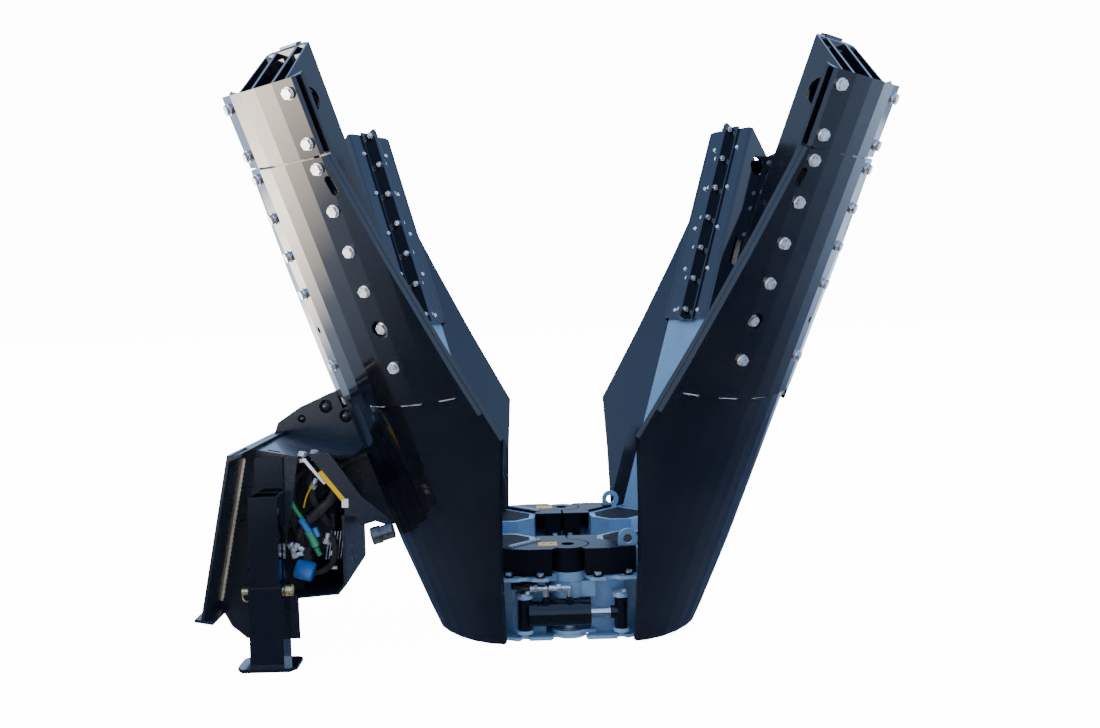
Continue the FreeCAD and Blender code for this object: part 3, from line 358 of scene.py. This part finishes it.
MAT = {
    "gloss_black": black_paint("gloss_black_paint"),
    "light_blue": blue_paint("blue_grey_enamel"),
    "zinc": metal("bright_zinc", (0.93, 0.95, 0.97), 0.24, 0.46),
    "yellow_zinc": metal("yellow_zinc", (0.90, 0.78, 0.40), 0.24, 0.42),
    "chrome_rod": metal("hard_chrome", (0.80, 0.81, 0.83), 0.06, 0.12),
    "slide_plastic": plastic("slide_plastic", (0.70, 0.70, 0.66)),
    "valve_metal": black_paint("valve_black", 0.35, 0.55, 0.0008),
    "hose_rubber": rubber("hose_rubber"),
    "weld": metal("weld_bead", (0.88, 0.90, 0.94), 0.28, 0.5, 0.0004),
    "bead_gold": plastic("tinted_weld", (0.80, 0.68, 0.50), 0.25, 0.45),
    "yellow_film": plastic("yellow_film", (0.84, 0.50, 0.0), 0.5, 0.7, 0.03),
    "caution_film": plastic("caution_film", (0.86, 0.64, 0.24), 0.5, 0.7, 0.05),
    "ink": plastic("black_ink", (0.012, 0.012, 0.012)),
    "white_film": plastic("white_film", (0.78, 0.79, 0.80)),
    "green_sleeve": plastic("green_sleeve", (0.008, 0.30, 0.15), 0.4, 0.6, 0.2),
    "blue_sleeve": plastic("blue_sleeve", (0.008, 0.15, 0.58), 0.4, 0.6, 0.15),
    "grit": rubber("grit_pad", (0.010, 0.013, 0.020), 0.03),
    "satin_black": black_paint("satin_black_paint", 0.24, 0.38, 0.0012, 0.25, 0.35,
                               (0.005, 0.010, 0.022), (0.011, 0.019, 0.036)),
    "cover_black": black_paint("cover_black_paint", 0.16, 0.26, 0.0012, 0.0, 0.06,
                               (0.0045, 0.006, 0.012), (0.009, 0.012, 0.020)),
    # Caps: black paint with painted shade on their downward-facing edges, where the shade under each cap
    # falls.
    "cap_black": black_paint("cap_paint_with_painted_shade", painted_shade_undersides=True),
    # Teeth are painted in the blue-grey enamel; their tone is set lighter than that enamel as painted light.
    "tooth_blue_with_painted_light": plastic("tooth_blue_with_painted_light", (0.42, 0.60, 0.82), 0.3, 0.4),
}
PAINTED = ((0.0045, 0.0055, 0.0085), 0.0, 0.10)
CHROMED = ((0.80, 0.81, 0.83), 1.0, 0.09)
PLATED = ((0.70, 0.73, 0.76), 1.0, 0.28)
OWN = {"swing_rod_near": part_painted("rod_and_eye", "X", 0.113, CHROMED, PAINTED),
       "swing_barrel_near": part_painted("barrel_and_elbows", "Z", 0.134, PAINTED, PLATED)}
OWN["mount_frame"] = OWN["ring_brackets"] = OWN["bay_guard"] = MAT["satin_black"]
for corner in AZIMUTH:
    OWN["cap_" + corner] = MAT["cap_black"]
OWN["rear_covers"] = OWN["gate_cover_near"] = OWN["gate_cover_far"] = MAT["cover_black"]
OWN["hose_coupler"] = metal("dark_coupler", (0.13, 0.14, 0.15), 0.25, 0.42)
OWN["swing_rod_far"] = OWN["swing_rod_near"]
OWN["swing_barrel_far"] = OWN["swing_barrel_near"]
SLOT_OF = {row["node"]: row["material_slot"] for row in frame["record"]["subparts"]}


def paint_nodes():
    """Gives each CAD node its material."""
    for name, node in NODES.items():
        node.data.materials.clear()
        node.data.materials.append(OWN.get(name) or MAT[SLOT_OF[name]])


# ---- small mesh builders ------------------------------------------------------------------------
def finish_piece(name, mesh, material, body, smooth=True):
    """Links a mesh as a piece of the object."""
    piece = bpy.data.objects.new(name, mesh)
    bpy.context.collection.objects.link(piece)
    mesh.materials.clear()
    mesh.materials.append(material)
    if smooth:
        for face in mesh.polygons:
            face.use_smooth = True
    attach(piece, body)
    return piece


def bm_to_mesh(name, bm):
    """Closes a bmesh into a mesh."""
    bmesh.ops.remove_doubles(bm, verts=bm.verts, dist=1e-6)
    bmesh.ops.recalc_face_normals(bm, faces=bm.faces)
    mesh = bpy.data.meshes.new(name)
    bm.to_mesh(mesh)
    bm.free()
    return mesh


def bead(bm, points, radius, lumps, normal_of):
    """Weld bead along points: a low rounded run with ripples."""
    sides = 8
    rings = []
    count = len(points)
    for k, point in enumerate(points):
        ahead = points[min(k + 1, count - 1)] - points[max(k - 1, 0)]
        ahead.normalize()
        normal = normal_of(point)
        side = ahead.cross(normal).normalized()
        swell = radius * (1.0 + 0.16 * math.cos(k * lumps) + random.uniform(-0.06, 0.06))
        if k in (0, count - 1):
            swell *= 0.35
        ring = []
        for j in range(sides):
            angle = 2 * math.pi * j / sides
            lift = normal * (swell * 0.8 * math.sin(angle))
            ring.append(bm.verts.new(point + side * (swell * math.cos(angle)) + lift))
        rings.append(ring)
    for a, b in zip(rings, rings[1:]):
        for j in range(sides):
            bm.faces.new((a[j], a[(j + 1) % sides], b[(j + 1) % sides], b[j]))
    bm.faces.new(rings[0][::-1])
    bm.faces.new(rings[-1])


def slab(bm, corners, thick):
    """Thin plate from four corners, thickened along its normal, with a soft rim."""
    normal = (corners[1] - corners[0]).cross(corners[2] - corners[0]).normalized()
    centre = sum(corners, Vector()) / len(corners)
    low = [bm.verts.new(c) for c in corners]
    high = [bm.verts.new(c + normal * thick + (centre - c).normalized() * thick * 0.4) for c in corners]
    bm.faces.new(low[::-1])
    bm.faces.new(high)
    for j in range(len(corners)):
        k = (j + 1) % len(corners)
        bm.faces.new((low[j], low[k], high[k], high[j]))


# ---- tower frame --------------------------------------------------------------------------------
def tower_axes(name):
    """Unit vectors across, outward and along one tower."""
    turn = math.radians(AZIMUTH[name])
    radial = Vector((math.cos(turn), math.sin(turn), 0))
    up = Vector((0, 0, 1))
    return (radial.cross(up), radial * math.cos(LEAN) - up * math.sin(LEAN),
            radial * math.sin(LEAN) + up * math.cos(LEAN))


def on_facets(name, u, s, distance):
    """Point over column u on the flats at distance from the roll axis."""
    across, outward, along = tower_axes(name)
    index = round(math.asin(max(-1, min(1, u / distance))) / FACET)
    angle = index * FACET
    slide = (u - distance * math.sin(angle)) / math.cos(angle)
    v = ROLL_AXIS_V + distance * math.cos(angle) - slide * math.sin(angle)
    return across * u + outward * v + along * s


def facet_normal(name, u):
    """Outward direction of the flat over column u."""
    across, outward, _ = tower_axes(name)
    angle = round(math.asin(u / BLADE_OUT) / FACET) * FACET
    return across * math.sin(angle) + outward * math.cos(angle)


def blade_half(s):
    """Half width of the blade above its shoulder."""
    share = (s - SHOULDER_S) / (BLADE_TOP - SHOULDER_S)
    return SHOULDER_HALF + share * (BLADE_TOP_HALF - SHOULDER_HALF)


def stitch_welds():
    """Weld stitches where the backing's foot and ears meet the blade."""
    for name in AZIMUTH:
        bm = bmesh.new()
        edge = blade_half(BACKING_FOOT) - 0.022
        runs = [(-0.246, -0.205), (-0.160, -0.092), (-0.040, 0.030), (0.085, 0.150), (0.205, 0.246)]
        for start, end in runs:
            steps = 22
            line = [start + (end - start) * k / (steps - 1) for k in range(steps)]
            points = [on_facets(name, u, BACKING_FOOT - 0.001, BLADE_OUT + 0.001) for u in line]
            bead(bm, points, STITCH_R, 2.1, lambda p: facet_normal(name, 0.0))
        for sign in (-1, 1):
            steps = 16
            points = []
            for k in range(steps):
                s = BACKING_FOOT - 0.004 - 0.050 * k / (steps - 1)
                u = sign * (edge + 0.004 * k / steps - 0.001)
                points.append(on_facets(name, u, s, BLADE_OUT + 0.001))
            bead(bm, points, STITCH_R, 2.1, lambda p: facet_normal(name, sign * edge))
        finish_piece("stitch_weld_" + name, bm_to_mesh("stitch_weld", bm), MAT["weld"], BODY[name])


# ---- ring dressing ------------------------------------------------------------------------------
def decals():
    """Plain yellow caution patches with a generic dark mark, on the rear covers."""
    for side, name in ((-1, "near"), (1, "far")):
        bm = bmesh.new()
        x0, x1, y0, y1 = -0.083, -0.030, side * HINGE_Y - 0.022, side * HINGE_Y + 0.026
        slab(bm, [Vector((x0, y0, COVER_Z)), Vector((x1, y0, COVER_Z)), Vector((x1, y1, COVER_Z)),
                  Vector((x0, y1, COVER_Z))], 0.0006)
        finish_piece("caution_patch_" + name, bm_to_mesh("patch", bm), MAT["caution_film"], "frame",
                     False)
        bm = bmesh.new()
        for cx in (-0.068, -0.046):
            centre = Vector((cx, side * HINGE_Y + 0.004, COVER_Z + 0.0006))
            ring = [centre + Vector((0.007 * math.cos(a), 0.007 * math.sin(a), 0))
                    for a in (math.radians(90), math.radians(210), math.radians(330))]
            slab(bm, ring, 0.0003)
        finish_piece("caution_mark_" + name, bm_to_mesh("mark", bm), MAT["ink"], "frame",
                     False)


def quarter_point(name, radial, across, height):
    """Point of the ring given along and across one tower's azimuth."""
    turn = math.radians(AZIMUTH[name])
    ahead = Vector((math.cos(turn), math.sin(turn), 0))
    beside = Vector((-math.sin(turn), math.cos(turn), 0))
    return ahead * radial + beside * across + Vector((0, 0, height))


def grip_strips():
    """Serrated strip along the rear covers' slanted edge."""
    for name, sign in (("rear_near", 1), ("rear_far", -1)):
        start = quarter_point(name, 0.214, sign * 0.094, COVER_Z)
        end = quarter_point(name, 0.345, sign * 0.094, COVER_Z)
        ahead = (end - start).normalized()
        across = (quarter_point(name, 0.214, sign * 0.110, COVER_Z) - start)
        bm = bmesh.new()
        for k in range(int((end - start).length / GRIP_PITCH)):
            base = start + ahead * (GRIP_PITCH * k)
            tip = base + ahead * GRIP_PITCH * 0.55
            corners = [base, tip, tip + across, base + across]
            if ahead.cross(across).z < 0:
                corners.reverse()
            slab(bm, corners, 0.0045)
        # The teeth take a lighter blue than the enamel: painted light.
        finish_piece("grip_strip_" + name, bm_to_mesh("grip", bm), MAT["tooth_blue_with_painted_light"], "frame",
                     False)


def ring_body(name):
    """Body that carries the ring quarter of a tower."""
    return "frame" if name.startswith("rear") else "gate_" + name.split("_")[1]


def socket_pads():
    """Dark anti-slip pad on the lid of each mast box."""
    outline = ((0.184, -0.030), (0.184, 0.030), (0.222, 0.071), (0.338, 0.071), (0.338, -0.071),
               (0.222, -0.071))
    for name in AZIMUTH:
        bm = bmesh.new()
        corners = [quarter_point(name, radial, across, LID_Z) for radial, across in outline]
        if (corners[1] - corners[0]).cross(corners[2] - corners[0]).z < 0:
            corners.reverse()
        slab(bm, corners, 0.0016)
        finish_piece("grip_pad_" + name, bm_to_mesh("pad", bm), MAT["grit"], ring_body(name),
                     False)


def pipe(bm, points, radius, sides=12):
    """Round pipe through a smoothed line of points."""
    line = [Vector(p) for p in points]
    for _ in range(3):
        finer = [line[0]]
        for a, b in zip(line, line[1:]):
            finer += [a.lerp(b, 0.25), a.lerp(b, 0.75)]
        line = finer + [line[-1]]
    side = (line[1] - line[0]).orthogonal().normalized()
    rings = []
    for k, point in enumerate(line):
        ahead = (line[min(k + 1, len(line) - 1)] - line[max(k - 1, 0)]).normalized()
        side = (side - ahead * side.dot(ahead)).normalized()
        other = ahead.cross(side)
        rings.append([bm.verts.new(point + side * (radius * math.cos(2 * math.pi * j / sides))
                                   + other * (radius * math.sin(2 * math.pi * j / sides)))
                      for j in range(sides)])
    for a, b in zip(rings, rings[1:]):
        for j in range(sides):
            bm.faces.new((a[j], a[(j + 1) % sides], b[(j + 1) % sides], b[j]))
    bm.faces.new(rings[0][::-1])
    bm.faces.new(rings[-1])


def hex_nut(bm, start, end, across_flats):
    """Six-sided fitting between two points."""
    pipe_ring(bm, Vector(start), Vector(end), across_flats / 2 / math.cos(math.pi / 6), 6)


def pipe_ring(bm, start, end, radius, sides):
    """Straight prism with small end chamfers."""
    ahead = (end - start).normalized()
    side = ahead.orthogonal().normalized()
    other = ahead.cross(side)
    chamfer = radius * 0.14
    rings = []
    for point, size in ((start, radius - chamfer), (start + ahead * chamfer, radius),
                        (end - ahead * chamfer, radius), (end, radius - chamfer)):
        rings.append([bm.verts.new(point + side * (size * math.cos(2 * math.pi * j / sides))
                                   + other * (size * math.sin(2 * math.pi * j / sides)))
                      for j in range(sides)])
    for a, b in zip(rings, rings[1:]):
        for j in range(sides):
            bm.faces.new((a[j], a[(j + 1) % sides], b[(j + 1) % sides], b[j]))
    bm.faces.new(rings[0][::-1])
    bm.faces.new(rings[-1])


def piece_of_pipes(name, runs, material, body):
    """One piece made of several pipes: (points, radius) each."""
    bm = bmesh.new()
    for points, radius in runs:
        pipe(bm, points, radius)
    return finish_piece(name, bm_to_mesh(name, bm), material, body)


def gate_hose_tails():
    """Fittings and hose tails of the gate cylinders' ports."""
    for side, name in ((-1, "near"), (1, "far")):
        body = "swing_cylinder_" + name
        y = 0.350
        runs = ([(-0.052, y, 0.158), (-0.085, y, 0.161), (-0.118, 0.340, 0.163), (-0.128, 0.318, 0.163),
                 (-0.129, 0.290, 0.163)],
                [(-0.104, y, 0.157), (-0.128, 0.352, 0.157), (-0.146, 0.338, 0.157), (-0.149, 0.312, 0.157),
                 (-0.149, 0.290, 0.157)])
        hoses = [([(px, side * py, pz) for px, py, pz in run], HOSE_TAIL_R) for run in runs]
        piece_of_pipes("gate_hose_" + name, hoses, MAT["hose_rubber"], body)
        bm = bmesh.new()
        for x0, x1, z in ((-0.023, -0.036, 0.157), (-0.089, -0.098, 0.157)):
            hex_nut(bm, (x0, side * y, z), (x1, side * y, z), 0.020)
        pipe_ring(bm, Vector((-0.035, side * y, 0.157)), Vector((-0.058, side * y, 0.158)), 0.0083, 20)
        pipe_ring(bm, Vector((-0.097, side * y, 0.157)), Vector((-0.110, side * y, 0.157)), 0.0083, 20)
        finish_piece("gate_ferrules_" + name, bm_to_mesh("ferrules", bm), MAT["zinc"], body, False)


def mount_point(x, y, z):
    """Point of the leaned mount frame, metres."""
    c, sn = math.cos(MOUNT_TILT), math.sin(MOUNT_TILT)
    return MOUNT_FOOT + Vector((x * c + z * sn, y, -x * sn + z * c))


def gusset_beads():
    """Bright weld bead where each gusset meets the loader plate."""
    for side, name in ((-1, "near"), (1, "far")):
        bm = bmesh.new()
        steps = 150
        points = [mount_point(0.0025, side * (GUSSET_Y + 0.001), 0.012 + 0.392 * k / (steps - 1))
                  for k in range(steps)]
        bead(bm, points, 0.0046, 1.3, lambda p: Vector((0.3, side, 0)).normalized())
        finish_piece("gusset_bead_" + name, bm_to_mesh("bead", bm), MAT["bead_gold"], "frame")


def bracket_bushes():
    """Dark bushes that close the round holes between the two bracket plates."""
    bm = bmesh.new()
    for x, z, radius in ((-0.712, 0.652, 0.0195), (-0.785, 0.616, 0.0115), (-0.652, 0.622, 0.0195)):
        pipe_ring(bm, Vector((x, -0.044, z)), Vector((x, 0.044, z)), radius + 0.004, 28)
        pipe_ring(bm, Vector((x, -0.0535, z)), Vector((x, -0.043, z)), radius * 0.62, 20)
    finish_piece("bracket_bushes", bm_to_mesh("bushes", bm), MAT["valve_metal"], "frame")


def splash_flap():
    """Rubber flap that closes the bay between its back wall and the stand."""
    outline = ((-0.835, 0.160), (-0.736, 0.160), (-0.736, 0.340), (-0.835, 0.340))
    bm = bmesh.new()
    slab(bm, [Vector((x, FLAP_Y, z)) for x, z in outline], 0.003)
    finish_piece("splash_flap", bm_to_mesh("splash_flap", bm), MAT["hose_rubber"], "frame",
                 False)


def bay_labels():
    """Blank strips and a block on the cheek."""
    for name, material, corners in (
            ("yellow_strip", "yellow_film", ((-0.673, 0.504), (-0.662, 0.511), (-0.602, 0.434),
                                             (-0.612, 0.427))),
            ("white_block", "white_film", ((-0.611, 0.432), (-0.593, 0.432), (-0.593, 0.408),
                                           (-0.611, 0.408))),
            ("silver_strip", "zinc", ((-0.714, 0.541), (-0.705, 0.545), (-0.652, 0.476), (-0.657, 0.472)))):
        bm = bmesh.new()
        slab(bm, [Vector((x, LABEL_Y, z)) for x, z in corners[::-1]], 0.0006)
        finish_piece(name, bm_to_mesh(name, bm), MAT[material], "frame", False)


def bay_fillings():
    """Hoses, coloured sleeves, fittings and a dust cap in front of the valve."""
    piece_of_pipes("bay_hoses", [
        ([(-0.640, -0.350, 0.445), (-0.648, -0.372, 0.419), (-0.690, -0.380, 0.388), (-0.732, -0.372, 0.344),
          (-0.744, -0.340, 0.300), (-0.735, -0.300, 0.285)], 0.0125),
        ([(-0.735, -0.300, 0.500), (-0.758, -0.340, 0.470), (-0.757, -0.360, 0.400), (-0.747, -0.350, 0.330),
          (-0.735, -0.320, 0.300)], 0.010),
        ([(-0.700, -0.280, 0.520), (-0.712, -0.340, 0.480), (-0.700, -0.355, 0.420), (-0.668, -0.340, 0.360),
          (-0.660, -0.300, 0.340)], 0.010),
        ([(-0.660, -0.330, 0.330), (-0.640, -0.350, 0.290), (-0.650, -0.350, 0.240), (-0.690, -0.340, 0.215),
          (-0.735, -0.335, 0.215)], 0.009)], MAT["hose_rubber"], "frame")
    piece_of_pipes("green_sleeves", [
        ([(-0.756, -0.386, 0.430), (-0.738, -0.390, 0.398), (-0.717, -0.392, 0.369)], 0.0055),
        ([(-0.709, -0.392, 0.345), (-0.699, -0.390, 0.325), (-0.690, -0.384, 0.300)], 0.0105),
        ([(-0.694, -0.360, 0.290), (-0.684, -0.358, 0.268)], 0.0075)],
                   MAT["green_sleeve"], "frame")
    piece_of_pipes("blue_sleeves", [
        ([(-0.727, -0.394, 0.376), (-0.714, -0.396, 0.358), (-0.704, -0.394, 0.341)], 0.0085),
        ([(-0.690, -0.394, 0.352), (-0.682, -0.390, 0.328)], 0.0075)],
                   MAT["blue_sleeve"], "frame")
    bm = bmesh.new()
    pipe_ring(bm, Vector((-0.750, -0.362, 0.236)), Vector((-0.702, -0.366, 0.222)), 0.027, 28)
    finish_piece("blue_cap", bm_to_mesh("blue_cap", bm), MAT["blue_sleeve"], "frame")
    bm = bmesh.new()
    for x, y, z, dx, dz in ((-0.763, -0.372, 0.308, 0.4, -1), (-0.750, -0.380, 0.302, 0.8, -0.4),
                            (-0.758, -0.372, 0.272, 1, 0.2), (-0.702, -0.350, 0.452, 0.4, 1),
                            (-0.668, -0.352, 0.298, 0.2, 1), (-0.650, -0.345, 0.262, 0.3, 1)):
        ahead = Vector((dx, 0.15, dz)).normalized()
        start = Vector((x, y, z))
        hex_nut(bm, start, start + ahead * 0.014, 0.019)
        pipe_ring(bm, start + ahead * 0.013, start + ahead * 0.030, 0.0072, 18)
    finish_piece("bay_fittings", bm_to_mesh("bay_fittings", bm), MAT["zinc"], "frame", False)
    grille = [([(-0.672 + 0.008 * k, -0.338, 0.252), (-0.660 + 0.008 * k, -0.338, 0.330)], 0.0016)
              for k in range(6)]
    piece_of_pipes("bay_coil", grille, MAT["zinc"], "frame")
    piece_of_pipes("bay_wire", [([(-0.696, -0.372, 0.465), (-0.712, -0.376, 0.440), (-0.722, -0.372, 0.404)],
                                 0.0022)], MAT["yellow_film"], "frame")
    bm = bmesh.new()
    pipe_ring(bm, Vector((-0.672, -0.345, 0.232)), Vector((-0.640, -0.345, 0.229)), 0.0052, 16)
    finish_piece("bay_tag", bm_to_mesh("bay_tag", bm), MAT["white_film"], "frame")


# ---- build --------------------------------------------------------------------------------------
set_camera()
set_world()
make_floor()
area_light("key_left", (-4.5, -4.0, 4.5), (0, 0, 0.8), (3.5, 3.0), 200, (1.0, 0.97, 0.93))
area_light("fill_right", (4.8, -2.8, 3.0), (0, 0, 0.8), (2.6, 3.4), 110, (0.92, 0.96, 1.0))
area_light("top_back", (0.5, 4.0, 4.5), (0, 0, 0.8), (4.0, 2.0), 160, (0.95, 0.97, 1.0), True)
paint_nodes()
stitch_welds()
decals()
grip_strips()
socket_pads()
gate_hose_tails()
gusset_beads()
bracket_bushes()
splash_flap()
bay_labels()
bay_fillings()
